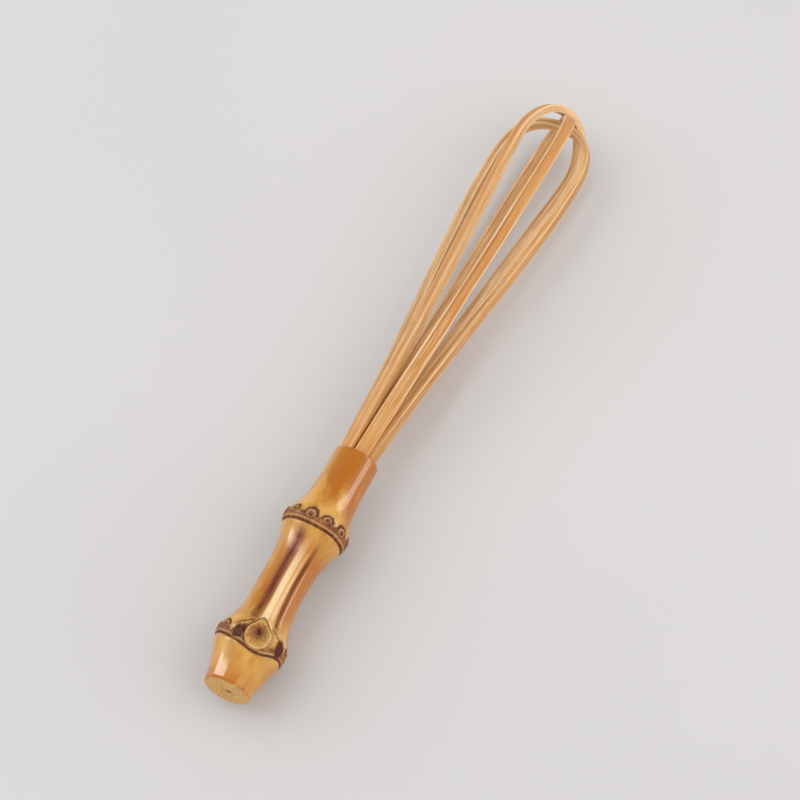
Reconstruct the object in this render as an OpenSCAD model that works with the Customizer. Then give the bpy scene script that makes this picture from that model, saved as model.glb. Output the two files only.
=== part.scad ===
// Bamboo loop whisk, lying on its side as it rests on a table.
// A bored length of bamboo root is the handle. Three bent bamboo strips are the
// head, and their six shanks are packed around a peg in the handle's mouth.
// The surface it lies on is z = 0. The butt is towards -Y and the tip towards +Y.

/* [Overall] */
// Length along the axis, from the sawn butt to the top of the outer loop
whisk_len = 200; // [190:1:215]
// How far the head leans sideways off the handle's line, in degrees
head_lean = 1.4; // [0:0.1:2.5]

/* [Handle] */
// Length from the butt to the mouth
handle_len = 78.5; // [74:0.5:84]
// Radius of the sawn butt, before it swells to the lower node
butt_r = 6; // [5.5:0.1:6.5]
// Radius of the waist between the nodes
waist_r = 6.8; // [6.5:0.1:7.5]
// Radius of the neck at the mouth
neck_r = 6.5; // [6.3:0.1:7.5]
// Radius of the lower node
low_node_r = 10.3; // [9.5:0.1:11]
// Radius of the upper node
up_node_r = 9.9; // [9:0.1:11]
// How far the lower half bends sideways, in degrees
handle_bend = 2.2; // [0:0.1:3]

/* [Socket] */
// Radius of the bore that holds the shanks
bore_r = 5.5; // [5.4:0.05:5.7]
// Depth of the bore
bore_depth = 15; // [10:0.5:18]
// How far the bore sits off the handle's centre
bore_shift = 0.5; // [0:0.05:0.5]
// Radius of the peg between the shanks
peg_r = 2.55; // [2:0.05:2.55]

/* [Strips] */
// Width of a strip along the head
strip_w = 3.4; // [3:0.1:3.6]
// Width of a shank
shank_w = 4.2; // [3.8:0.1:4.2]
// Length of the shank above the mouth
shank_len = 15; // [10:1:20]
// Length over which a shank narrows to the strip's width
taper_len = 40; // [30:5:50]
// Thickness of a strip along its legs
leg_t = 2.45; // [2:0.05:2.5]
// Thickness of the outer and inner strips at the tip
tip_t = 2.1; // [1.8:0.1:2.1]
// Thickness of the middle strip at the tip
mid_tip_t = 1.75; // [1.5:0.05:1.8]
// Space between one strip and the next where they cross at the tip
tip_gap = 0.2; // [0.15:0.05:0.4]

/* [Hidden] */
$fn = 64;

// Heights along the axis, measured from the butt.
low_node_z = 0.2 * handle_len;
waist_z = 0.45 * handle_len;
up_node_z = 0.69 * handle_len;
shoulder_z = handle_len + shank_len;
taper_z = shoulder_z + taper_len;
belly_z = 0.9 * whisk_len;
foot_z = handle_len - bore_depth + 0.5;

// How quickly the surface falls away from each node, below it and above it.
low_fall = [6.5, 3.9];
up_fall = [3.7, 3.6];

// Angles around the axis, seen from the tip, from 0 at the side to 90 on top.
// Each loop's plane holds the axis. The bud is on top of the lower node.
outer_angle = 47;
middle_angle = 110;
inner_angle = 168;
bud_angle = 105;
groove_angles = [81, 125];
groove_rs = [2.2, 1.1];

// Rings of root scars: how many, where the first one is, and their radii.
scar_count = 11;
scar_pitch = 360 / scar_count;
up_scar_start = 16;
low_scar_start = 10;
scar_rs = [1.5, 1.1];
scar_lift = 0.35;
scar_root = 2.5;

bud_r = 3.7;
bud_tip = 1.35;
bud_lift = 0.6;

// Middle of each strip's arch, stacked from the outermost inwards.
outer_top = whisk_len - tip_t / 2;
middle_top = outer_top - tip_t / 2 - tip_gap - mid_tip_t / 2;
inner_top = middle_top - mid_tip_t / 2 - tip_gap - tip_t / 2;

// A shank's middle stands this far from the axis, so that its outer corners touch the bore.
shank_r = sqrt(pow(bore_r - 0.04, 2) - pow(shank_w / 2, 2)) - leg_t / 2;
// Half of the slit between neighbouring shanks.
half_slit = 0.15;

// One loop: belly radius, height of the belly, height of the arch, thickness at the tip, and
// the flare at the foot. Then come the handles of its two curves: the lengths of both leg
// handles as parts of the leg, and of the arch handles as parts of the rise and the radius.
outer_loop_shape = [11.5, 0.92 * whisk_len, outer_top, tip_t, 0.03, [0.5, 0.09], [0.51, 0.61]];
middle_loop_shape = [12.3, 0.9 * whisk_len, middle_top, mid_tip_t, 0.1, [0.45, 0.35], [0.55, 0.64]];
inner_loop_shape = [12.85, 0.893 * whisk_len, inner_top, tip_t, 0.056, [0.46, 0.27], [0.71, 0.67]];

// The head and the lower node both rest on the surface, so the axis rises towards the tip.
rest_r = 13.2;
node_rest_r = low_node_r + scar_lift;
axis_rise = atan((rest_r - node_rest_r) / (belly_z - low_node_z));
axis_start = node_rest_r - low_node_z * sin(axis_rise);
head_side = tan(head_lean) * (belly_z - handle_len) - bore_shift;

handle_colour = [0.79, 0.58, 0.27];
strip_colour = [0.87, 0.66, 0.39];
peg_colour = [0.76, 0.58, 0.36];

function sech(x) = 2 / (exp(x) + exp(-x));

// Radius of the surface near one node, which swells from its lower and upper base radii.
function node_r(z, at, crest, bases, falls) =
    let (side = z < at ? 0 : 1)
    bases[side] + (crest - bases[side]) * sech((z - at) / falls[side]);

function handle_r(z) = z < waist_z
    ? node_r(z, low_node_z, low_node_r, [butt_r, waist_r], low_fall)
    : node_r(z, up_node_z, up_node_r, [waist_r, neck_r], up_fall);

// Outline of the handle from height a to height b, with a small bevel at an open end.
function handle_outline(a, b, bevel_a, bevel_b) = concat(
    [[0, a], [handle_r(a) - bevel_a, a]],
    [for (i = [1 : 1 : 25]) let (z = a + bevel_a + (b - a - bevel_a - bevel_b) * (i - 1) / 24) [handle_r(z), z]],
    [[handle_r(b) - bevel_b, b], [0, b]]);

function bezier(p, t) =
    pow(1 - t, 3) * p[0] + 3 * pow(1 - t, 2) * t * p[1] + 3 * (1 - t) * t * t * p[2] + pow(t, 3) * p[3];

function bezier_slope(p, t) =
    3 * pow(1 - t, 2) * (p[1] - p[0]) + 6 * (1 - t) * t * (p[2] - p[1]) + 3 * t * t * (p[3] - p[2]);

function unit(v) = v / norm(v);

// The strip is thick along its legs and shaved thinner where it bends over.
function thickness(z, tip) = leg_t + (tip - leg_t) * min(1, max(0, (z - 0.82 * whisk_len) / (0.1 * whisk_len)));

function leg_curve(s) =
    let (leg = s[1] - handle_len)
    [[shank_r, handle_len],
     [shank_r + s[4] * s[5][0] * leg, handle_len + s[5][0] * leg],
     [s[0], s[1] - s[5][1] * leg],
     [s[0], s[1]]];

function arch_curve(s) =
    let (rise = s[2] - s[1])
    [[s[0], s[1]],
     [s[0], s[1] + s[6][0] * rise],
     [s[0] * s[6][1], s[2]],
     [0, s[2]]];

// One face of half a loop, from its foot to the middle of its arch. Side is 1 outside, -1 inside.
function half_face(s, side) = concat(
    [[shank_r + side * leg_t / 2, foot_z]],
    [for (i = [0 : 15]) face_point(leg_curve(s), i / 16, side, s[3])],
    [for (i = [0 : 15]) face_point(arch_curve(s), i / 16, side, s[3])],
    [[0, s[2] + side * s[3] / 2]]);

function face_point(curve, t, side, tip) =
    let (p = bezier(curve, t), d = unit(bezier_slope(curve, t)))
    p + side * thickness(p[1], tip) / 2 * [d[1], -d[0]];

function mirrored(points) = [for (i = [len(points) - 2 : -1 : 0]) [-points[i][0], points[i][1]]];

function whole_face(s, side) = concat(half_face(s, side), mirrored(half_face(s, side)));

function reversed(points) = [for (i = [len(points) - 1 : -1 : 0]) points[i]];

// Drop shape: a circle with a point on its +Y side, where two tangents meet.
function drop(r, tip) =
    let (a = acos(1 / tip))
    concat([for (i = [0 : 24]) let (t = 90 + a + (360 - 2 * a) * i / 24) r * [cos(t), sin(t)]], [[0, r * tip]]);

// Moves a shape from the upright frame, with its axis on +Z, to where it lies.
module lying() {
    translate([-head_side, -whisk_len / 2 * cos(axis_rise), axis_start])
        rotate([90 - axis_rise, 0, 180])
            children();
}

// Leans a shape about the middle of the mouth, as the bore and the head lean.
module leaning() {
    translate([bore_shift, 0, handle_len])
        rotate([0, -head_lean, 0])
            translate([0, 0, -handle_len])
                children();
}

// Bends a shape below the waist.
module bent() {
    translate([0, 0, waist_z])
        rotate([0, handle_bend, 0])
            translate([0, 0, -waist_z])
                children();
}

module root_scars(at, start, crest, skip) {
    for (i = [0 : scar_count - 1])
        if (abs(start + i * scar_pitch - bud_angle) > skip)
            rotate([0, 0, start + i * scar_pitch])
                translate([crest - scar_root, 0, at])
                    rotate([0, 90, 0])
                        cylinder(h = scar_root + scar_lift, r = scar_rs[i % 2]);
}

module ring_line(at, r) {
    translate([0, 0, at])
        rotate_extrude()
            translate([r, 0])
                circle(0.4, $fn = 16);
}

// The dormant bud: a drop-shaped boss with a dished face and a small dome in the dish.
module bud() {
    rotate([0, 0, bud_angle])
        translate([0, 0, low_node_z - 0.8])
            rotate([90, 0, 90]) {
                difference() {
                    linear_extrude(low_node_r + bud_lift)
                        polygon(drop(bud_r, bud_tip));
                    translate([0, 0, low_node_r + bud_lift + 4.4])
                        sphere(r = 5.2);
                }
                translate([0, 0, low_node_r - 0.6])
                    sphere(r = 1);
            }
}

// Two shallow grooves run up from the bud and leave a ridge between them.
module bud_grooves() {
    bow_r = 58;
    for (i = [0 : 1])
        rotate([0, 0, groove_angles[i]])
            translate([waist_r - 0.35 + bow_r + groove_rs[i], 0, waist_z])
                rotate([90, 0, 0])
                    rotate_extrude($fn = 200)
                        translate([bow_r, 0])
                            circle(groove_rs[i]);
}

module handle() {
    color(handle_colour)
        lying()
            difference() {
                union() {
                    rotate_extrude()
                        polygon(handle_outline(waist_z, handle_len, 0, 0.5));
                    root_scars(up_node_z, up_scar_start, up_node_r, 0);
                    bent() {
                        rotate_extrude()
                            polygon(handle_outline(0, waist_z + 1, 0.5, 0));
                        root_scars(low_node_z, low_scar_start, low_node_r, 30);
                        bud();
                    }
                }
                ring_line(up_node_z - 2.3, up_node_r - 0.9);
                bent()
                    ring_line(low_node_z - 3.4, low_node_r - 0.4);
                bud_grooves();
                leaning()
                    translate([0, 0, handle_len - bore_depth])
                        cylinder(h = bore_depth + 2, r = bore_r);
            }
}

// Outline of a strip's width, seen along its thickness: a wide shank that tapers to the strip.
module width_outline() {
    half = [shank_w / 2, strip_w / 2];
    side = [[half[0], foot_z - 1],
            [half[0], shoulder_z],
            [half[1], taper_z],
            [half[1], whisk_len + 1]];
    polygon(concat(side, reversed([for (p = side) [-p[0], p[1]]])));
}

// Everything beyond the shank's own sixth of the socket, on one side.
module beyond_sixth() {
    reach = 20;
    edge = reach * tan(30) - half_slit / cos(30);
    polygon([[0, -half_slit / cos(30)], [reach, edge], [reach, reach], [-reach, reach], [-reach, edge]]);
}

module loop(shape, angle) {
    color(strip_colour)
        lying()
            leaning()
                rotate([0, 0, angle])
                    difference() {
                        intersection() {
                            rotate([90, 0, 0])
                                linear_extrude(shank_w + 1, center = true)
                                    polygon(concat(whole_face(shape, 1), reversed(whole_face(shape, -1))));
                            rotate([90, 0, 90])
                                linear_extrude(60, center = true)
                                    width_outline();
                        }
                        for (turn = [0, 180])
                            rotate([0, 0, turn])
                                translate([0, 0, foot_z - 1])
                                    linear_extrude(taper_z - foot_z + 1)
                                        beyond_sixth();
                    }
}

module core_peg() {
    color(peg_colour)
        lying()
            leaning()
                translate([0, 0, foot_z])
                    cylinder(h = bore_depth - 3, r = peg_r);
}

handle();
loop(outer_loop_shape, outer_angle);  // outer_loop
loop(middle_loop_shape, middle_angle);  // middle_loop
loop(inner_loop_shape, inner_angle);  // inner_loop
core_peg();
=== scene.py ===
"""Looks of a bamboo loop whisk: a bamboo-root handle and three bent strips of split bamboo.

Shapes are worked out upright in millimetres, with the axis on +Z and the butt at 0. place() then
lays them on the floor in the frame's metres. Angles run round the axis as in the CAD design.
"""
import math

import bpy
import numpy as np
from mathutils import Matrix, Vector


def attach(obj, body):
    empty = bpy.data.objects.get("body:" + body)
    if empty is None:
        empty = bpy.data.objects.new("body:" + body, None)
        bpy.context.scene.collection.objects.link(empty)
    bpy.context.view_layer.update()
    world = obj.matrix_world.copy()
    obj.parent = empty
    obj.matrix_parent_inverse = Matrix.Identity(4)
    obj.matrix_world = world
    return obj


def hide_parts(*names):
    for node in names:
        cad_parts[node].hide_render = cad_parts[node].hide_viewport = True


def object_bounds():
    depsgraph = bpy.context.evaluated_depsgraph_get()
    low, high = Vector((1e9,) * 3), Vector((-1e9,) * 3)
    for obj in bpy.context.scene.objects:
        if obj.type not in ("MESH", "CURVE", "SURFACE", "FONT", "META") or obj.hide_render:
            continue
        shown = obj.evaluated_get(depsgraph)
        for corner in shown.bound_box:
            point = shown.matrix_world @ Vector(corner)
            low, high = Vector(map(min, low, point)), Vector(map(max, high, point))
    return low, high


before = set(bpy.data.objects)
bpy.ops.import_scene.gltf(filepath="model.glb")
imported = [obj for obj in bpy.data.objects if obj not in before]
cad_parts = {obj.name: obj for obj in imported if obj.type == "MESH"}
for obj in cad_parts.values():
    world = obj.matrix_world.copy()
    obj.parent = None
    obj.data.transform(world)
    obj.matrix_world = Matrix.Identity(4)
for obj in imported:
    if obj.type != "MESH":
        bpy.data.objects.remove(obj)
CAD_LOW, CAD_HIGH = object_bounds()
MM = 0.001
SEED = 7

# Driving sizes in millimetres, the same as the CAD design's.
WHISK_LEN = 200.0
HANDLE_LEN = 78.5
HEAD_LEAN = math.radians(1.4)
HANDLE_BEND = math.radians(2.2)
BUTT_R, WAIST_R, NECK_R = 6.0, 6.8, 6.5
LOW_NODE_R, UP_NODE_R = 10.3, 9.9
BORE_R, BORE_DEPTH, BORE_SHIFT, PEG_R = 5.5, 15.0, 0.5, 2.55
STRIP_W, SHANK_W, SHANK_LEN, TAPER_LEN = 3.4, 4.2, 15.0, 40.0
LEG_T, TIP_T, MID_TIP_T, TIP_GAP = 2.45, 2.1, 1.75, 0.2
REST_R, SCAR_LIFT = 13.2, 0.35

# Small clearances, much as in the CAD: how far the shanks stay off the bore, off the planes
# between them and off the socket's floor.
BORE_PLAY, LEG_PLAY, FOOT_PLAY = 0.04, 0.17, 0.5

# Only here: the handle's rounded edges, how far the butt face and its pores lie inside the CAD's
# butt plane, and how far the pith is off the middle.
EDGE_ROUND, BUTT_INSET, PITH_OFFSET = 0.45, 0.13, 0.9

# Heights along the axis and what follows from the sizes above.
LOW_NODE_Z, WAIST_Z, UP_NODE_Z = 0.2 * HANDLE_LEN, 0.45 * HANDLE_LEN, 0.69 * HANDLE_LEN
SHOULDER_Z = HANDLE_LEN + SHANK_LEN
TAPER_Z = SHOULDER_Z + TAPER_LEN
BELLY_Z = 0.9 * WHISK_LEN
PEG_LEN = BORE_DEPTH - 3
FOOT_Z = HANDLE_LEN - BORE_DEPTH + FOOT_PLAY
LOW_FALL, UP_FALL = (6.5, 3.9), (3.7, 3.6)
LOW_LINE_Z, UP_LINE_Z = 13.4, UP_NODE_Z - 2.3
OUTER_TOP = WHISK_LEN - TIP_T / 2
MIDDLE_TOP = OUTER_TOP - TIP_T / 2 - TIP_GAP - MID_TIP_T / 2
INNER_TOP = MIDDLE_TOP - MID_TIP_T / 2 - TIP_GAP - TIP_T / 2
SHANK_R = math.sqrt((BORE_R - BORE_PLAY) ** 2 - (SHANK_W / 2) ** 2) - LEG_T / 2
NODE_REST_R = LOW_NODE_R + SCAR_LIFT
AXIS_RISE = math.atan((REST_R - NODE_REST_R) / (BELLY_Z - LOW_NODE_Z))
AXIS_START = NODE_REST_R - LOW_NODE_Z * math.sin(AXIS_RISE)
HEAD_SIDE = math.tan(HEAD_LEAN) * (BELLY_Z - HANDLE_LEN) - BORE_SHIFT

# One loop: belly radius, belly height, arch height, tip thickness, flare at the foot, the two
# handles of the leg's curve, the two handles of the arch's curve, and the angle of its plane.
LOOPS = {
    "outer_loop": (11.5, 0.92 * WHISK_LEN, OUTER_TOP, TIP_T, 0.03, (0.5, 0.09), (0.51, 0.61), 47),
    "middle_loop": (12.3, 0.9 * WHISK_LEN, MIDDLE_TOP, MID_TIP_T, 0.1, (0.45, 0.35), (0.55, 0.64), 110),
    "inner_loop": (12.85, 0.893 * WHISK_LEN, INNER_TOP, TIP_T, 0.056, (0.46, 0.27), (0.71, 0.67), 168),
}

# What grows on the handle: the bud on the lower node, the ridge above it, and the root scars.
BUD_ANGLE, BUD_Z, BUD_R = 105.0, LOW_NODE_Z - 0.8, 4.0
RIDGE_ANGLE, RIDGE_HALF = 108.0, 16.5
LEFT_GROOVE_ANGLE, RIGHT_GROOVE_ANGLE = 81.5, 128.0
SCAR_COUNT = 11
SCAR_PITCH = 360 / SCAR_COUNT
UP_SCAR_START, LOW_SCAR_START = 16.0, 10.0
SCAR_BOSS = 0.2
# No scars this near the bud's angle, in degrees. The upper node keeps all of its own.
UP_SCAR_SKIP, LOW_SCAR_SKIP = 0, 52

# How many points go round the handle and the peg, and how many rings lie on the butt face.
HANDLE_COLUMNS, PEG_COLUMNS, BUTT_RINGS = 300, 48, 14

# A strip's section: the radius of its corners, and points on a flat, on an edge and on a corner.
STRIP_CORNER = 0.24
FLAT_POINTS, EDGE_POINTS, CORNER_POINTS = 13, 9, 5
FIBRE_GROOVES, FIBRE_DEPTHS = 26, (0.02, 0.07)


# ---------------------------------------------------------------- small maths

def smooth(low, high, x):
    """0 below low, 1 above high, and a smooth rise between them."""
    t = np.clip((x - low) / (high - low), 0, 1)
    return t * t * (3 - 2 * t)


def hump(x, width):
    """A smooth bump of height 1 at 0, with the given half width."""
    return np.exp(-((x / width) ** 2))


def turn(angle, centre):
    """Signed difference between two angles in degrees, from -180 to 180."""
    return (angle - centre + 180) % 360 - 180


def ripple(rng, around, along, waves, height):
    """Sum of a few random waves round and along a shape, closed all the way round."""
    total = np.zeros(np.broadcast(around, along).shape)
    for count, length in waves:
        start_a, start_b = rng.uniform(0, 2 * math.pi, 2)
        wave = np.sin(np.radians(around) * count + start_a) * np.sin(2 * math.pi * along / length + start_b)
        total = total + wave
    return height * total / len(waves)


def bezier(points, t):
    """Points on the curve through the first and last of four points."""
    p = np.array(points, float)
    u = 1 - t
    return (u ** 3)[:, None] * p[0] + (3 * u * u * t)[:, None] * p[1] \
        + (3 * u * t * t)[:, None] * p[2] + (t ** 3)[:, None] * p[3]


# ---------------------------------------------------------------- placing and meshes

LYING = (
    Matrix.Translation((-HEAD_SIDE, -WHISK_LEN / 2 * math.cos(AXIS_RISE), AXIS_START))
    @ Matrix.Rotation(math.pi, 4, "Z")
    @ Matrix.Rotation(math.pi / 2 - AXIS_RISE, 4, "X")
)
LEANING = (
    Matrix.Translation((BORE_SHIFT, 0, HANDLE_LEN))
    @ Matrix.Rotation(-HEAD_LEAN, 4, "Y")
    @ Matrix.Translation((0, 0, -HANDLE_LEN))
)


def place(points, matrix):
    """Turns upright points in millimetres into lying points in metres."""
    m = np.array(LYING @ matrix)
    flat = np.asarray(points, float).reshape(-1, 3)
    return (flat @ m[:3, :3].T + m[:3, 3]) * MM


def make_mesh(name, points, faces, marks):
    """Makes a smooth-shaded object. Marks are named numbers, one for each point."""
    mesh = bpy.data.meshes.new(name)
    mesh.from_pydata([tuple(p) for p in points], [], faces)
    for mark, values in marks.items():
        layer = mesh.attributes.new(mark, "FLOAT", "POINT")
        layer.data.foreach_set("value", np.asarray(values, np.float32).ravel())
    mesh.polygons.foreach_set("use_smooth", [True] * len(mesh.polygons))
    mesh.validate()
    piece = bpy.data.objects.new(name, mesh)
    bpy.context.scene.collection.objects.link(piece)
    return piece


def tube_faces(rows, columns):
    """Quads between rings of points, closed all the way round."""
    faces = []
    for i in range(rows - 1):
        for j in range(columns):
            k = (j + 1) % columns
            faces.append((i * columns + j, i * columns + k, (i + 1) * columns + k, (i + 1) * columns + j))
    return faces


def capped_faces(rows, columns):
    """The same quads, with one flat face over each end."""
    faces = tube_faces(rows, columns)
    faces.append(tuple(range(columns - 1, -1, -1)))
    faces.append(tuple((rows - 1) * columns + j for j in range(columns)))
    return faces


# ---------------------------------------------------------------- the handle

def node_r(z, at, crest, bases, falls):
    """Radius near one node, which swells from its base radii below and above."""
    base = np.where(z < at, bases[0], bases[1])
    fall = np.where(z < at, falls[0], falls[1])
    return base + (crest - base) / np.cosh((z - at) / fall)


def plain_handle_r(z):
    """Radius of the handle before anything grows on it."""
    low = node_r(z, LOW_NODE_Z, LOW_NODE_R, (BUTT_R, WAIST_R), LOW_FALL)
    up = node_r(z, UP_NODE_Z, UP_NODE_R, (WAIST_R, NECK_R), UP_FALL)
    return np.where(z < WAIST_Z, low, up)


def add_mark(marks, name, amount):
    """Raises one mark to at least this amount."""
    marks[name] = np.maximum(marks[name], amount)


def darken(marks, amount):
    """Raises the dark mark to at least this amount."""
    add_mark(marks, "dark", amount)


def scar_ring(angle, z, crest, start, at, skip, marks):
    """Raised root scars round a node, each with a dark outline, a paler rim and a dark pit."""
    rng = np.random.default_rng(SEED + int(at))
    lift = np.zeros_like(angle)
    warp = ripple(rng, angle, z, [(37, 2.3), (53, 3.1), (71, 1.7), (29, 4.0)], 0.3)
    for i in range(SCAR_COUNT):
        centre = start + i * SCAR_PITCH + rng.uniform(-2, 2)
        size = (1.6 if i % 2 else 2.1) * rng.uniform(0.92, 1.08)
        high, squash, lean = rng.uniform(-0.2, 0.35), rng.uniform(0.85, 1.1), rng.uniform(-0.35, 0.35)
        pit_across, pit_along = rng.uniform(-0.35, 0.35), rng.uniform(-0.2, 0.3)
        if abs(turn(centre, BUD_ANGLE)) < skip:
            continue
        along = z - at - high
        across = np.radians(turn(angle, centre)) * crest + lean * along
        reach = np.hypot(across * squash, along * np.where(along < 0, 1.3, 0.95)) / size + warp * 0.6
        boss = hump(reach, 0.75)
        rim = hump(reach - 0.58, 0.15)
        pit = hump(np.hypot(across - pit_across, along - pit_along), 0.6)
        outline = hump(reach - 0.98, 0.25) * smooth(-1.3, 0.3, along)
        lift = lift + SCAR_BOSS * boss + 0.14 * rim - 0.32 * pit - 0.2 * outline
        darken(marks, 0.98 * outline)
        darken(marks, 0.92 * pit)
        darken(marks, 0.8 * hump(reach - 0.8, 0.13))
        darken(marks, 0.62 * smooth(0.55, 0.3, reach))
        add_mark(marks, "pale", 0.6 * rim * smooth(-0.2, 0.3, warp + 0.12))
        add_mark(marks, "scar", smooth(1.15, 0.85, reach))
    return lift


def ring_lines(angle, z, line_z, marks):
    """The sheath's scar: a deep dark line, a pale lip, a thin brown line, then a smeared collar."""
    rng = np.random.default_rng(SEED + int(line_z.mean()))
    uneven = ripple(rng, angle, z, [(7, 60), (13, 40), (23, 50), (31, 30)], 1.0)
    line_z = line_z + 0.1 * uneven
    deep = hump(z - line_z, 0.42 + 0.14 * uneven)
    lip = hump(z - line_z - 0.64, 0.2)
    thin = hump(z - line_z - 1.2 + 0.12 * uneven, 0.2)
    smear = hump(z - line_z - 1.9, 0.85) * smooth(-0.7, 0.4, uneven)
    darken(marks, deep * np.clip(0.98 + 0.3 * uneven, 0, 1))
    darken(marks, thin * (0.65 + 0.3 * uneven))
    darken(marks, 0.8 * smear)
    add_mark(marks, "pale", 0.5 * lip)
    add_mark(marks, "scar", np.maximum(hump(z - line_z - 0.9, 1.2), 0.9 * smear))
    return -0.42 * deep + 0.2 * lip - 0.16 * thin - 0.08 * smear


def bud_shape(angle, z, marks):
    """The dormant bud: a drop-shaped boss with a pale rim round a rough golden dish, with painted shade on
    the dish's upper left and painted light on its lower right.
    """
    rng = np.random.default_rng(SEED + 3)
    across = np.radians(turn(angle, BUD_ANGLE)) * LOW_NODE_R
    along = z - BUD_Z
    warp = ripple(rng, angle, z, [(17, 9.0), (29, 6.0), (41, 4.0)], 0.13)
    point = 1 + 0.42 * smooth(0.25, 1.0, along / BUD_R) * hump(across + 0.9, 2.0)
    reach = np.hypot(across, along / point) / BUD_R + warp * 0.5
    inside = smooth(1.04, 0.88, reach)
    dish = smooth(0.86, 0.35, reach)
    rim = hump(reach - 0.9, 0.07)
    upper_left = smooth(-3.0, 2.5, along - 1.2 * across)
    outline = hump(reach - 1.03, 0.075) * (0.25 + 0.75 * upper_left)
    heart = np.hypot(across + 0.2, along - 0.9)
    crumbs = ripple(rng, angle, z, [(37, 2.6), (53, 1.9), (67, 1.5), (29, 3.4)], 0.36)
    ring = hump(reach - 0.66, 0.07) * smooth(-0.1, 0.5, crumbs * 3 + 0.3)
    add_mark(marks, "bud", smooth(0.97, 0.86, reach))
    darken(marks, 0.95 * outline)
    darken(marks, 0.97 * hump(heart, 0.8))
    darken(marks, 0.62 * smooth(-0.02, 0.22, crumbs) * hump(heart - 0.9, 1.5) * smooth(-2.0, 1.2, along))
    add_mark(marks, "heart", hump(heart - 0.5, 2.1) * smooth(0.92, 0.7, reach))
    # Painted shade: the ring of crumbs is darkened only on the dish's upper left.
    darken(marks, 0.5 * ring * upper_left)
    # The rim is pale all round and paler towards the lower right as painted light; the pale crumbs on the
    # lower right are painted light too.
    add_mark(marks, "pale", 0.7 * rim * (1.1 - 0.8 * upper_left))
    add_mark(marks, "pale", 0.6 * smooth(0.05, 0.3, -crumbs) * dish * (1 - upper_left))
    add_mark(marks, "scar", inside)
    fold = 0.55 * hump(heart - 1.3, 0.6) * dish
    return 0.55 * inside - 0.85 * dish + fold + crumbs * dish - 0.25 * outline


def bud_wings(angle, z, marks):
    """A hollow on each side of the bud, darkened as painted shade, under a curved edge that runs up to its
    point.
    """
    rng = np.random.default_rng(SEED + 4)
    across = np.radians(turn(angle, BUD_ANGLE)) * LOW_NODE_R
    along = z - BUD_Z
    warp = ripple(rng, angle, z, [(23, 5.0), (37, 3.0), (49, 2.2)], 0.3)
    left_roof = 4.1 - 0.62 * (-across - 3.2) + warp * 0.8
    right_roof = 4.1 - 0.35 * (across - 3.2) - 0.035 * (across - 3.2) ** 2 + warp * 0.8
    left_edge = hump(along - left_roof, 0.42) * smooth(2.6, 3.2, -across) * smooth(8.4, 7.4, -across)
    right_edge = hump(along - right_roof, 0.34) * smooth(2.8, 3.4, across) * smooth(11.6, 10.6, across)
    left_along = along + 0.9 - 0.3 * (across + 5.8)
    left_hollow = smooth(1.2, 0.75, np.hypot((across + 5.8) / 2.1, left_along / 2.5) + 0.9 * warp)
    right_along = along - 0.5 + 0.25 * (across - 8.3)
    right_hollow = smooth(1.2, 0.75, np.hypot((across - 8.3) / 2.1, right_along / 2.7) + 0.8 * warp)
    hollows = np.maximum(left_hollow, right_hollow) * smooth(-3.1, -2.4, along)
    edges = np.maximum(left_edge, 0.8 * right_edge)
    roof = np.where(across < 0, left_roof, right_roof)
    between = smooth(0.4, -0.4, along - roof) * smooth(8.0, 6.0, np.abs(across))
    between = between * smooth(-4.2, -3.0, along) * smooth(3.6, 4.4, np.abs(across))
    darken(marks, 0.9 * edges)
    # Painted shade in the hollows under the curved edges.
    darken(marks, 0.93 * hollows)
    add_mark(marks, "bud", 0.85 * between * (1 - hollows))
    add_mark(marks, "scar", np.maximum(between, hollows))
    return -0.38 * hollows - 0.2 * edges + 0.12 * between


def low_line_z(angle):
    """The lower ring line dips under the bud."""
    return LOW_LINE_Z - 2.9 * hump(turn(angle, BUD_ANGLE - 2), 42) + 0.25 * np.sin(np.radians(angle * 5))


def up_line_z(angle):
    """The upper ring line is nearly level, just below the scars."""
    return UP_LINE_Z + 0.12 * np.sin(np.radians(angle * 3))


def ridge_and_grooves(angle, z, marks):
    """From the bud to the upper node: a crested ridge between a wide groove and a narrow one."""
    start = smooth(17.5, 21.0, z)
    run = start * smooth(51.0, 41.0, z)
    drift = 1.0 * np.sin(z / 9.0)
    wide = hump(turn(angle, LEFT_GROOVE_ANGLE + drift), 11.0)
    narrow = hump(turn(angle, RIGHT_GROOVE_ANGLE + drift), 5.0)
    crest = np.clip(1 - np.abs(turn(angle, RIDGE_ANGLE + 0.5 * drift)) / RIDGE_HALF, 0, 1)
    stain = start * smooth(53.0, 47.0, z)
    add_mark(marks, "band", np.maximum(stain * wide, 0.95 * run * narrow))
    fading = start * smooth(50.0, 34.0, z)
    add_mark(marks, "ridge", (0.4 * run + 0.6 * fading) * smooth(0, 0.4, crest))
    return run * (0.5 * crest - 0.22 * wide - 0.34 * narrow)


def handle_rows():
    """Heights of the handle's rings of points: close together at the nodes, wider between."""
    stops = [(0.6, 8.0, 0.45), (8.0, 21.5, 0.17), (21.5, 49.0, 0.42), (49.0, 57.5, 0.17), (57.5, 78.1, 0.45)]
    rows = [np.arange(low, high, step) for low, high, step in stops]
    return np.concatenate(rows + [[HANDLE_LEN - EDGE_ROUND]])


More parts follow.
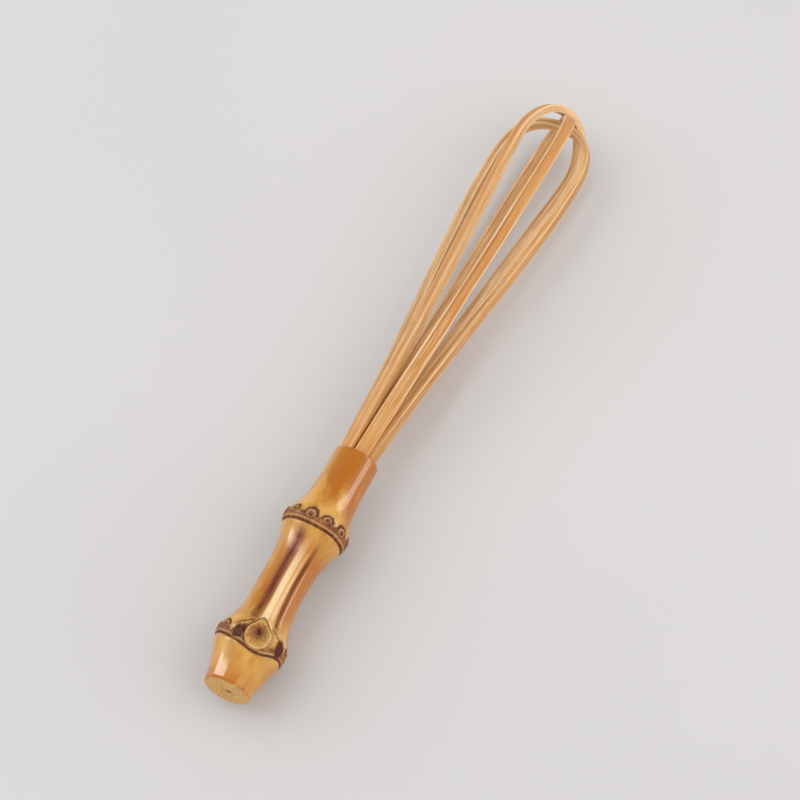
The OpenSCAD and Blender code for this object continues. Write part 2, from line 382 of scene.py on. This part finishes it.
def handle_surface(angle, z):
    """Radius of the handle's outside, and its marks, at each angle and height."""
    rng = np.random.default_rng(SEED)
    names = ("dark", "pale", "scar", "bud", "heart", "band", "ridge")
    marks = {name: np.zeros_like(angle) for name in names}
    r = plain_handle_r(z)
    r = r + ripple(rng, angle, z, [(2, 90), (3, 61), (4, 47), (5, 70), (3, 33)], 0.14)
    r = r + ripple(rng, angle, z, [(9, 140), (14, 160), (19, 120), (26, 190)], 0.03)
    r = r - 0.12 * hump(z - UP_NODE_Z, 4.0)
    r = r + ridge_and_grooves(angle, z, marks)
    r = r + ring_lines(angle, z, up_line_z(angle), marks)
    r = r + ring_lines(angle, z, low_line_z(angle), marks)
    r = r + scar_ring(angle, z, UP_NODE_R, UP_SCAR_START, UP_NODE_Z, UP_SCAR_SKIP, marks)
    r = r + scar_ring(angle, z, LOW_NODE_R, LOW_SCAR_START, LOW_NODE_Z + 0.1, LOW_SCAR_SKIP, marks)
    r = r + bud_wings(angle, z, marks)
    across = np.radians(turn(angle, BUD_ANGLE)) * LOW_NODE_R
    on_bud = smooth(1.05, 0.95, np.hypot(across, z - BUD_Z) / BUD_R)
    marks["dark"] = marks["dark"] * (1 - on_bud)
    r = r + bud_shape(angle, z, marks)
    return r, marks


def bend_low(points):
    """Bends the lower half sideways about the waist, easing in over a few millimetres."""
    x, y, z = points.T
    a = HANDLE_BEND * smooth(WAIST_Z + 6, WAIST_Z - 6, z)
    h = z - WAIST_Z
    return np.stack([x * np.cos(a) + h * np.sin(a), y, WAIST_Z - x * np.sin(a) + h * np.cos(a)], 1)


def ring_at(angles, radius, height):
    """Points round the axis. The radius and the height are one number, or one for each point."""
    a = np.radians(angles)
    return np.stack([radius * np.cos(a), radius * np.sin(a), np.broadcast_to(height, a.shape)], 1)


def bore_ring(angles, radius, z):
    """Points round the leaning bore."""
    lean = np.array(LEANING)
    return (ring_at(angles, radius, z) @ lean[:3, :3].T) + lean[:3, 3]


def butt_rings(angles, butt_r):
    """The sawn butt face and its rounded edge: rings of points, and their cut and dark marks."""
    rng = np.random.default_rng(SEED + 1)
    a = np.radians(angles)
    flat_r = butt_r - EDGE_ROUND
    steps = np.linspace(0, 1, BUTT_RINGS)
    pores = ripple(rng, angles[:, None], steps[None, :], [(61, 0.31), (87, 0.23), (43, 0.4)], 0.06).T
    rings, cut, slit = [], [], []
    for i, part in enumerate(np.linspace(0.015, 1, BUTT_RINGS)):
        pith = 0.35 * hump(part, 0.1)
        ring = ring_at(angles, part * flat_r, BUTT_INSET + pores[i] * (1 - part ** 8) + pith)
        ring[:, 0] -= PITH_OFFSET * (1 - part)
        rings.append(bend_low(ring))
        cut.append(1.0)
        slit.append(hump(part * np.cos(a + 0.25), 0.16) * hump(part * np.sin(a + 0.25), 0.055))
    for part in (0.35, 0.7, 1.0):
        radius = flat_r + EDGE_ROUND * math.sin(part * math.pi / 2)
        height = 0.1 + 0.5 * (1 - math.cos(part * math.pi / 2))
        rings.append(bend_low(ring_at(angles, radius, height)))
        cut.append(0.3 * (1 - part))
    return rings, cut, slit


def mouth_rings(angles, top_r):
    """Rings of points over the rounded lip, down the bore and in over its floor."""
    rings = []
    for part in (0.5, 1.0):
        height = HANDLE_LEN - EDGE_ROUND + EDGE_ROUND * math.sin(part * math.pi / 2)
        rings.append(ring_at(angles, top_r - EDGE_ROUND * part, height))
    lip = rings[-1]
    bore_top = bore_ring(angles, BORE_R + 0.12, HANDLE_LEN)
    bore_top[:, 2] = HANDLE_LEN - 0.05
    for part in (0.5, 1.0):
        rings.append(lip * (1 - part) + bore_top * part)
    for radius, depth in ((BORE_R, 0.5), (BORE_R, BORE_DEPTH / 2), (BORE_R, BORE_DEPTH), (0.5, BORE_DEPTH)):
        rings.append(bore_ring(angles, radius, HANDLE_LEN - depth))
    return rings


def make_handle():
    """The handle in one skin: the butt face, the outside, the rounded lip and the bore."""
    columns = HANDLE_COLUMNS
    angles = np.arange(columns) * 360 / columns
    heights = handle_rows()
    angle, z = np.meshgrid(angles, heights)
    r, marks = handle_surface(angle, z)
    rad = np.radians(angle)
    side = bend_low(np.stack([r * np.cos(rad), r * np.sin(rad), z], 2).reshape(-1, 3))
    butt, butt_cut, slit = butt_rings(angles, r[0] - 0.1)
    mouth = mouth_rings(angles, r[-1])

    points = np.vstack(butt + [side] + mouth)
    first, after = len(butt), len(butt) + len(heights)
    rows = after + len(mouth)
    cut = np.zeros((rows, columns))
    cut[:first] = np.array(butt_cut)[:, None]
    cut[after + 1:] = 0.8
    full = {"cut": cut}
    for name, values in marks.items():
        grown = np.zeros((rows, columns))
        grown[first:after] = values
        full[name] = grown
    full["dark"][:len(slit)] = np.array(slit)
    full["along"] = np.clip(points[:, 2].reshape(rows, columns), 0, HANDLE_LEN)
    full["around"] = np.broadcast_to(angles, (rows, columns))
    return make_mesh("root_handle", place(points, Matrix.Identity(4)), capped_faces(rows, columns), full)


# ---------------------------------------------------------------- the strips

def thickness(z, tip):
    """A strip's thickness at a height: full along the legs, thinner over the arch."""
    return LEG_T + (tip - LEG_T) * np.clip((z - 0.82 * WHISK_LEN) / (0.1 * WHISK_LEN), 0, 1)


def half_loop(shape):
    """Middle line of half a loop, from the foot to the top of the arch, as (radius, height)."""
    belly_r, belly_z, top, _, flare, leg_parts, arch_parts, _ = shape
    leg, rise = belly_z - HANDLE_LEN, top - belly_z
    shank = [(SHANK_R, z) for z in np.linspace(FOOT_Z, HANDLE_LEN - 1, 6)]
    leg_line = bezier([(SHANK_R, HANDLE_LEN),
                       (SHANK_R + flare * leg_parts[0] * leg, HANDLE_LEN + leg_parts[0] * leg),
                       (belly_r, belly_z - leg_parts[1] * leg),
                       (belly_r, belly_z)], np.linspace(0, 1, 130)[:-1])
    arch_line = bezier([(belly_r, belly_z),
                        (belly_r, belly_z + arch_parts[0] * rise),
                        (belly_r * arch_parts[1], top),
                        (0, top)], np.linspace(0, 1, 56))
    return np.vstack([shank, leg_line, arch_line])


def rounded_outline(corner):
    """Outline of a strip's section as parts of its half sizes, plus the corner's own offsets."""
    outline = []
    corners = [(1, -1), (1, 1), (-1, 1), (-1, -1)]
    for i, (sx, sy) in enumerate(corners):
        start = -90 + 90 * i
        for k in range(CORNER_POINTS):
            t = math.radians(start + 90 * k / (CORNER_POINTS - 1))
            outline.append((sx, sy, corner * (math.cos(t) - sx), corner * (math.sin(t) - sy)))
        nx, ny = corners[(i + 1) % 4]
        side = math.radians(start + 90)
        bx, by = corner * (math.cos(side) - sx), corner * (math.sin(side) - sy)
        ex, ey = corner * (math.cos(side) - nx), corner * (math.sin(side) - ny)
        count = EDGE_POINTS if sx == nx else FLAT_POINTS
        for k in range(1, count):
            f = k / count
            outline.append((sx + (nx - sx) * f, sy + (ny - sy) * f, bx + (ex - bx) * f, by + (ey - by) * f))
    return np.array(outline)


def fibre_grooves(rng, count, columns, length_mm):
    """Fine grooves along a strip, each at its own place on the outline, coming and going."""
    where = np.arange(columns) / columns
    depth = np.zeros((len(length_mm), columns))
    for _ in range(count):
        centre = rng.uniform(0, 1) + 0.004 * np.sin(length_mm / rng.uniform(25, 60) + rng.uniform(0, 6))
        gap = np.abs((where[None, :] - centre[:, None] + 0.5) % 1 - 0.5)
        fade = smooth(-0.5, 0.6, np.sin(length_mm / rng.uniform(12, 45) + rng.uniform(0, 6)))
        depth += rng.uniform(*FIBRE_DEPTHS) * hump(gap, rng.uniform(0.008, 0.016)) * fade[:, None]
    return depth


def make_loop(name, shape, seed):
    """One bent strip, from foot to foot: its section is carried along the loop's middle line."""
    rng = np.random.default_rng(seed)
    tip_t, plane_angle = shape[3], shape[7]
    half = half_loop(shape)
    line = np.vstack([half, (half[:-1] * [-1, 1])[::-1]])
    slope = np.gradient(line, axis=0)
    slope /= np.linalg.norm(slope, axis=1)[:, None]
    outward = np.stack([slope[:, 1], -slope[:, 0]], 1)
    travelled = np.concatenate([[0], np.cumsum(np.linalg.norm(np.diff(line, axis=0), axis=1))])
    height = line[:, 1]
    thick = thickness(height, tip_t)
    narrowing = np.clip((height - SHOULDER_Z) / TAPER_LEN, 0, 1)
    wide = SHANK_W + (STRIP_W - SHANK_W) * narrowing
    wide = wide - 0.03 + 0.03 * np.sin(travelled / 17 + rng.uniform(0, 6))
    outline = rounded_outline(STRIP_CORNER)
    columns = len(outline)
    grooves = fibre_grooves(rng, FIBRE_GROOVES, columns, travelled)

    across = outline[:, 0][None, :] * wide[:, None] / 2 + outline[:, 2][None, :]
    depth = outline[:, 1][None, :] * thick[:, None] / 2 + outline[:, 3][None, :]
    depth = depth * (1 - 2 * grooves / thick[:, None])
    across = across * (1 - 2 * grooves / wide[:, None])
    reach = np.abs(line[:, 0])[:, None] + depth
    sixth = reach * math.tan(math.radians(30)) - LEG_PLAY
    limit = np.where(height[:, None] < TAPER_Z, sixth, STRIP_W)
    across = np.clip(across, -limit, limit)

    radial = line[:, 0][:, None] + outward[:, 0][:, None] * depth
    upward = line[:, 1][:, None] + outward[:, 1][:, None] * depth
    a = math.radians(plane_angle)
    x = radial * math.cos(a) - across * math.sin(a)
    y = radial * math.sin(a) + across * math.cos(a)
    points = np.stack([x, y, upward], 2)
    rows = len(line)
    marks = {
        "across": np.broadcast_to(outline[:, 0], (rows, columns)) * wide[:, None] / 2,
        "depth": np.broadcast_to(outline[:, 1], (rows, columns)),
        "along": np.broadcast_to(travelled[:, None], (rows, columns)),
        "height": np.broadcast_to(height[:, None], (rows, columns)),
        "groove": grooves / FIBRE_DEPTHS[1],
        "edge": np.broadcast_to((np.abs(outline[:, 0] * outline[:, 1]) > 0.999) * 1.0, (rows, columns)),
    }
    # The rings of points run the other way round a strip, so its faces are turned over.
    faces = [face[::-1] for face in capped_faces(rows, columns)]
    return make_mesh(name.replace("loop", "strip"), place(points, LEANING), faces, marks)


def make_peg():
    """The packing peg between the shanks, with a slightly domed and chipped top."""
    columns = PEG_COLUMNS
    angles = np.arange(columns) * 360 / columns
    rng = np.random.default_rng(SEED + 2)
    uneven = ripple(rng, angles, 0 * angles + 0.3, [(7, 1.7), (5, 2.3), (11, 1.1)], 0.05)
    top = FOOT_Z + PEG_LEN
    rows = [(0.3, FOOT_Z), (PEG_R - 0.3, FOOT_Z), (PEG_R - 0.05, FOOT_Z + 0.3), (PEG_R - 0.05, top - 0.4),
            (PEG_R - 0.35, top - 0.05), (PEG_R * 0.5, top - 0.02), (0.3, top)]
    points = []
    for radius, z in rows:
        r = radius * (1 - 0.02 + uneven * 0.3)
        height = np.full(columns, z) - np.abs(uneven) * 0.5
        points.append(ring_at(angles, r, height))
    along = np.repeat([z for _, z in rows], columns)
    faces = capped_faces(len(rows), columns)
    return make_mesh("packing_peg", place(np.vstack(points), LEANING), faces, {"along": along})


# ---------------------------------------------------------------- materials

class Shader:
    """A few short calls for building a node material."""

    def __init__(self, name, **sockets):
        self.material = bpy.data.materials.new(name)
        self.material.use_nodes = True
        self.tree = self.material.node_tree
        self.surface = self.tree.nodes["Principled BSDF"]
        for socket, value in sockets.items():
            self.surface.inputs[socket.replace("_", " ")].default_value = value

    def link(self, source, target):
        """Links an output to an input, or sets the input when the source is a plain value."""
        if hasattr(source, "is_output"):
            self.tree.links.new(source, target)
        else:
            target.default_value = source

    def mark(self, name):
        """One of the mesh's marks."""
        node = self.tree.nodes.new("ShaderNodeAttribute")
        node.attribute_name = name
        return node.outputs["Fac"]

    def sums(self, operation, a, b=0.0, clamp=False):
        """One step of arithmetic on two values."""
        node = self.tree.nodes.new("ShaderNodeMath")
        node.operation = operation
        node.use_clamp = clamp
        self.link(a, node.inputs[0])
        self.link(b, node.inputs[1])
        return node.outputs[0]

    def ramp(self, value, low, high, to_low=0.0, to_high=1.0):
        """A smooth step from to_low, at low, to to_high, at high."""
        node = self.tree.nodes.new("ShaderNodeMapRange")
        node.interpolation_type = "SMOOTHSTEP"
        self.link(value, node.inputs["Value"])
        limits = {"From Min": low, "From Max": high, "To Min": to_low, "To Max": to_high}
        for socket, number in limits.items():
            node.inputs[socket].default_value = number
        return node.outputs["Result"]

    def mix(self, factor, a, b, blend="MIX"):
        """Colour a, with as much of colour b as the factor says."""
        node = self.tree.nodes.new("ShaderNodeMixRGB")
        node.blend_type = blend
        for value, socket in ((factor, "Fac"), (a, "Color1"), (b, "Color2")):
            self.link(value, node.inputs[socket])
        return node.outputs["Color"]

    def vector(self, x, y, z):
        """Three values as one place in a pattern."""
        node = self.tree.nodes.new("ShaderNodeCombineXYZ")
        for value, target in zip((x, y, z), node.inputs):
            self.link(value, target)
        return node.outputs[0]

    def grain(self, stretch):
        """Object coordinates in millimetres, stretched along the whisk."""
        texture_place = self.tree.nodes.new("ShaderNodeTexCoord")
        mapping = self.tree.nodes.new("ShaderNodeMapping")
        mapping.inputs["Scale"].default_value = (1 / MM, 1 / MM / stretch, 1 / MM)
        self.tree.links.new(texture_place.outputs["Object"], mapping.inputs["Vector"])
        return mapping.outputs["Vector"]

    def noise(self, vector, scale, detail=3.0, rough=0.55):
        """Cloudy noise, from 0 to 1."""
        node = self.tree.nodes.new("ShaderNodeTexNoise")
        self.link(vector, node.inputs["Vector"])
        node.inputs["Scale"].default_value = scale
        node.inputs["Detail"].default_value = detail
        node.inputs["Roughness"].default_value = rough
        return node.outputs["Fac"]

    def bump(self, height, distance_mm):
        """Fine relief on the surface, this deep."""
        node = self.tree.nodes.new("ShaderNodeBump")
        node.inputs["Distance"].default_value = distance_mm * MM
        node.inputs["Strength"].default_value = 1.0
        self.link(height, node.inputs["Height"])
        self.tree.links.new(node.outputs["Normal"], self.surface.inputs["Normal"])

    def finish(self, colour, roughness):
        """Fills in what every material here has, and gives the material."""
        self.link(colour, self.surface.inputs["Base Color"])
        self.link(roughness, self.surface.inputs["Roughness"])
        return self.material


def srgb(red, green, blue):
    """A colour from its 0 to 255 screen values."""
    parts = [c / 255 for c in (red, green, blue)]
    return tuple(c / 12.92 if c <= 0.04045 else ((c + 0.055) / 1.055) ** 2.4 for c in parts) + (1.0,)


def root_material():
    """Lacquered bamboo root: honey skin, browner where it was heated, dark and rough at the scars."""
    s = Shader("root_bamboo", Coat_Roughness=0.14, IOR=1.45, Specular_IOR_Level=0.3)
    along, around = s.mark("along"), s.mark("around")
    dark, pale, scar = s.mark("dark"), s.mark("pale"), s.mark("scar")
    band, ridge, cut = s.mark("band"), s.mark("ridge"), s.mark("cut")
    bud, heart = s.mark("bud"), s.mark("heart")
    clouds = s.noise(s.grain(2.5), 0.22, 4.0)
    streaks = s.noise(s.grain(14), 1.5, 4.0, 0.6)
    speckle = s.noise(s.grain(1.2), 3.2, 2.0)
    wander = s.ramp(clouds, 0.25, 0.75, -6, 6)

    colour = s.mix(s.ramp(clouds, 0.35, 0.7), srgb(224, 172, 88), srgb(198, 138, 56))
    below_mouth = s.ramp(s.sums("ADD", along, wander), 53, 71)
    brown_side = s.sums("MULTIPLY", s.ramp(around, 40, 76), s.ramp(around, 300, 250))
    brown_top = s.sums("MULTIPLY", below_mouth, s.sums("ADD", 0.2, s.sums("MULTIPLY", brown_side, 0.8)))
    colour = s.mix(s.sums("MULTIPLY", brown_top, 0.9), colour, srgb(182, 104, 24))
    low_edge = s.sums("ADD", along, s.sums("MULTIPLY", wander, 0.6))
    scorched = s.sums("MULTIPLY", s.ramp(low_edge, 7, 1), s.ramp(clouds, 0.4, 0.6, 0.35, 0.8))
    colour = s.mix(scorched, colour, srgb(190, 100, 44))
    middle = s.sums("MULTIPLY", s.ramp(low_edge, 19, 33), s.ramp(low_edge, 51, 43))
    middle = s.sums("MULTIPLY", middle, s.sums("ADD", 0.3, s.sums("MULTIPLY", brown_side, 0.7)))
    colour = s.mix(s.sums("MULTIPLY", middle, 0.85), colour, srgb(184, 104, 30))
    banded = s.sums("MULTIPLY", band, s.ramp(streaks, 0.3, 0.6, 0.7, 1.0))
    colour = s.mix(banded, colour, srgb(106, 36, 6))
    # Painted light on the ridge: its flank towards the key light is painted pale, the flank away from it
    # darker honey.
    away_from_key = s.ramp(around, RIDGE_ANGLE - 2, RIDGE_ANGLE + 2)
    ridge_lit_and_shaded_colour = s.mix(away_from_key, srgb(250, 222, 172), srgb(220, 164, 84))
    colour = s.mix(s.sums("MULTIPLY", ridge, 0.93), colour, ridge_lit_and_shaded_colour)
    colour = s.mix(s.ramp(streaks, 0.45, 0.72, 0, 0.16), colour, srgb(176, 104, 46), "MULTIPLY")
    colour = s.mix(s.sums("MULTIPLY", scar, 0.75), colour, srgb(170, 96, 54))
    bud_colour = s.mix(s.ramp(speckle, 0.36, 0.62), srgb(176, 116, 42), srgb(228, 182, 98))
    bud_colour = s.mix(s.sums("MULTIPLY", heart, 0.95), bud_colour, srgb(118, 58, 16))
    colour = s.mix(bud, colour, bud_colour)
    # Pale marks: the real paler rims of the scars and lips of the ring lines, and painted light on the bud's
    # rim and on its dish's lower right.
    colour = s.mix(s.sums("MULTIPLY", pale, 0.85), colour, srgb(236, 204, 150))
    # Dark marks: real dark stains at the scars and ring lines, and painted shade in the bud's hollows and on
    # the upper left of its dish.
    dark_stain_and_shade = s.mix(s.ramp(speckle, 0.45, 0.65), srgb(54, 17, 8), srgb(116, 48, 24))
    colour = s.mix(s.sums("MULTIPLY", dark, s.sums("SUBTRACT", 1.0, cut)), colour, dark_stain_and_shade)
    fibres = s.noise(s.grain(1.0), 2.6, 3.0, 0.7)
    end_grain = s.mix(s.ramp(fibres, 0.4, 0.62), srgb(244, 198, 122), srgb(192, 136, 66))
    colour = s.mix(cut, colour, end_grain)
    colour = s.mix(s.sums("MULTIPLY", dark, cut), colour, srgb(84, 44, 18))

    roughness = s.sums("ADD", 0.22, s.ramp(streaks, 0.3, 0.7, 0, 0.12))
    roughness = s.sums("ADD", roughness, s.sums("MULTIPLY", s.sums("MAXIMUM", scar, cut), 0.3))
    roughness = s.sums("ADD", roughness, s.sums("MULTIPLY", s.sums("MAXIMUM", dark, band), 0.3), clamp=True)
    relief = s.sums("ADD", s.sums("MULTIPLY", streaks, 0.6), s.sums("MULTIPLY", speckle, 0.4))
    rough_parts = s.sums("ADD", 0.22, s.sums("MAXIMUM", scar, cut))
    s.bump(s.sums("MULTIPLY", relief, rough_parts), 0.14)
    bare = s.sums("MULTIPLY", s.sums("MAXIMUM", scar, cut), 0.7)
    stained = s.sums("MULTIPLY", band, 0.9)
    worn = s.sums("MAXIMUM", s.sums("MAXIMUM", dark, stained), bare, clamp=True)
    lacquer = s.sums("SUBTRACT", 1.0, worn)
    s.link(s.sums("MULTIPLY", lacquer, 0.5), s.surface.inputs["Coat Weight"])
    return s.finish(colour, roughness)


def strip_material():
    """Split bamboo: tan skin outside, paler split sides, and fibre lines along its length."""
    s = Shader("split_bamboo", Coat_Weight=0.06, Coat_Roughness=0.35, IOR=1.4)
    across, depth, along = s.mark("across"), s.mark("depth"), s.mark("along")
    height, groove, edge = s.mark("height"), s.mark("groove"), s.mark("edge")
    drawn_out = s.sums("MULTIPLY", along, 0.03)
    lines = s.vector(s.sums("MULTIPLY", across, 1.6), s.sums("MULTIPLY", depth, 2.0), drawn_out)
    streaks = s.noise(lines, 1.6, 5.0, 0.65)
    fine = s.noise(lines, 2.7, 2.0, 0.6)
    patches = s.noise(s.grain(5), 0.16, 3.0)

    colour = s.mix(s.ramp(patches, 0.35, 0.68), srgb(238, 192, 132), srgb(226, 170, 102))
    skin = s.mix(s.ramp(patches, 0.3, 0.7), srgb(218, 156, 88), srgb(206, 140, 70))
    inner = s.mix(s.ramp(patches, 0.3, 0.7), srgb(226, 178, 120), srgb(204, 150, 92))
    colour = s.mix(s.ramp(depth, 0.82, 0.97), colour, skin)
    colour = s.mix(s.ramp(depth, -0.82, -0.97), colour, inner)
    on_skin = s.ramp(depth, 0.8, 0.97)
    calm = s.sums("MULTIPLY", on_skin, s.ramp(height, 100, 150, 0, 0.7))
    plain = s.sums("SUBTRACT", 1.0, calm)
    streaked = s.sums("MULTIPLY", s.ramp(streaks, 0.48, 0.64, 0, 0.75), plain)
    colour = s.mix(streaked, colour, srgb(184, 116, 52))
    fine_lines = s.sums("MULTIPLY", s.ramp(fine, 0.5, 0.62, 0, 0.75), plain)
    colour = s.mix(fine_lines, colour, srgb(250, 220, 170))
    colour = s.mix(s.sums("MULTIPLY", groove, 0.6, clamp=True), colour, srgb(136, 80, 34))
    # The strips' corners are painted paler: partly real scuffing, partly a painted highlight along the
    # edges.
    scuff_and_edge_highlight = s.sums("MULTIPLY", edge, s.ramp(patches, 0.3, 0.65, 0.2, 0.75))
    colour = s.mix(scuff_and_edge_highlight, colour, srgb(252, 222, 178))
    colour = s.mix(s.ramp(height, 130, 80, 0, 0.42), colour, srgb(214, 152, 74))
    roughness = s.ramp(streaks, 0.3, 0.7, 0.36, 0.52)
    s.bump(s.sums("ADD", streaks, s.sums("MULTIPLY", fine, 0.5)), 0.07)
    return s.finish(colour, roughness)


def peg_material():
    """Bare dry bamboo, seen only down the mouth."""
    s = Shader("peg_bamboo", Roughness=0.6)
    fibres = s.noise(s.grain(1.0), 2.4, 3.0, 0.7)
    colour = s.mix(s.ramp(fibres, 0.4, 0.62), srgb(196, 150, 92), srgb(132, 88, 44))
    s.bump(fibres, 0.1)
    return s.finish(colour, s.ramp(fibres, 0.3, 0.7, 0.55, 0.75))


def floor_material():
    """A matt pale table top with the faintest change of tone."""
    s = Shader("pale_floor", Specular_IOR_Level=0.2)
    tone = s.noise(s.grain(1.0), 0.004, 2.0)
    colour = s.mix(s.ramp(tone, 0.3, 0.7), srgb(213, 213, 214), srgb(209, 209, 210))
    return s.finish(colour, 0.85)


# ---------------------------------------------------------------- the studio

VIEW_TURN, VIEW_TILT = math.radians(28.1), math.radians(64)
VIEW_WIDTH = 0.2204
VIEW_DISTANCE = 4.0
RIGHT = Vector((math.cos(VIEW_TURN), math.sin(VIEW_TURN), 0))
AHEAD = Vector((-math.sin(VIEW_TURN), math.cos(VIEW_TURN), 0))
UP = Vector((0, 0, 1))
AIM_BELOW_MIDDLE = 0.0014
TARGET = (CAD_LOW + CAD_HIGH) / 2 - UP * AIM_BELOW_MIDDLE
FLOOR_HALF = 3.0

# Each light: where it stands (right, ahead, up), its width and height, its watts and its colour.
LIGHTS = {
    "key": ((-0.80, 0.32, 0.90), (1.4, 1.4), 5.8, (0.97, 1.0, 1.03)),
    "left_card": ((-0.715, 0.34, 0.58), (0.26, 0.95), 7.5, (1.0, 0.99, 0.97)),
    "right_card": ((0.96, 0.12, 0.32), (0.75, 0.5), 6.5, (1.0, 0.98, 0.97)),
    "fill": ((1.0, -0.3, 0.8), (1.2, 1.2), 5.0, (1.0, 0.95, 0.91)),
}
SURROUND_COLOUR, SURROUND_STRENGTH = (1.0, 0.97, 0.945, 1.0), 0.79


def studio(right, ahead, up):
    """A place in metres, as seen by someone who stands where the camera does."""
    return TARGET + RIGHT * right + AHEAD * ahead + UP * up


def make_floor():
    """A square of floor right under the part."""
    size = FLOOR_HALF
    level = CAD_LOW.z
    corners = [(-size, -size, level), (size, -size, level), (size, size, level), (-size, size, level)]
    mesh = bpy.data.meshes.new("floor")
    mesh.from_pydata(corners, [], [(0, 1, 2, 3)])
    floor = bpy.data.objects.new("floor", mesh)
    bpy.context.scene.collection.objects.link(floor)
    floor.data.materials.append(floor_material())


def make_softbox(name, stands, size, watts, colour):
    """A flat rectangular light that faces the whisk."""
    light = bpy.data.lights.new(name, "AREA")
    light.shape = "RECTANGLE"
    light.size, light.size_y = size
    light.energy = watts
    light.color = colour
    softbox = bpy.data.objects.new(name, light)
    softbox.location = studio(*stands)
    softbox.rotation_euler = (TARGET - studio(*stands)).to_track_quat("-Z", "Y").to_euler()
    bpy.context.scene.collection.objects.link(softbox)
    return softbox


def make_lights():
    """A large key light, a fill and an even surround, and two cards that show only as highlights."""
    for name, settings in LIGHTS.items():
        softbox = make_softbox(name, *settings)
        if name.endswith("card"):
            softbox.visible_diffuse = False
        else:
            softbox.visible_glossy = False
    world = bpy.data.worlds.new("studio")
    world.use_nodes = True
    background = world.node_tree.nodes["Background"]
    background.inputs["Color"].default_value = SURROUND_COLOUR
    background.inputs["Strength"].default_value = SURROUND_STRENGTH
    bpy.context.scene.world = world
    world.cycles_visibility.glossy = False
    bpy.context.scene.view_settings.view_transform = "Standard"


def make_camera():
    """A long lens, far away, so that near and far parts keep their true proportions."""
    camera = bpy.data.cameras.new("camera")
    camera.lens = camera.sensor_width * VIEW_DISTANCE / VIEW_WIDTH
    eye = bpy.data.objects.new("camera", camera)
    back = -AHEAD * math.cos(VIEW_TILT) + UP * math.sin(VIEW_TILT)
    eye.location = TARGET + back * VIEW_DISTANCE
    eye.rotation_euler = (-back).to_track_quat("-Z", "Y").to_euler()
    bpy.context.scene.collection.objects.link(eye)
    bpy.context.scene.camera = eye


# ---------------------------------------------------------------- putting it together

def dress(piece, node, material):
    """Gives a piece its material, puts it under the root body and hides the CAD piece that it stands for."""
    piece.data.materials.append(material)
    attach(piece, "root")
    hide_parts(node)


def main():
    """Builds the pieces and the studio."""
    dress(make_handle(), "handle", root_material())
    split_bamboo = strip_material()
    for seed, (name, shape) in enumerate(LOOPS.items()):
        dress(make_loop(name, shape, SEED + 10 + seed), name, split_bamboo)
    dress(make_peg(), "core_peg", peg_material())
    make_floor()
    make_lights()
    make_camera()


main()
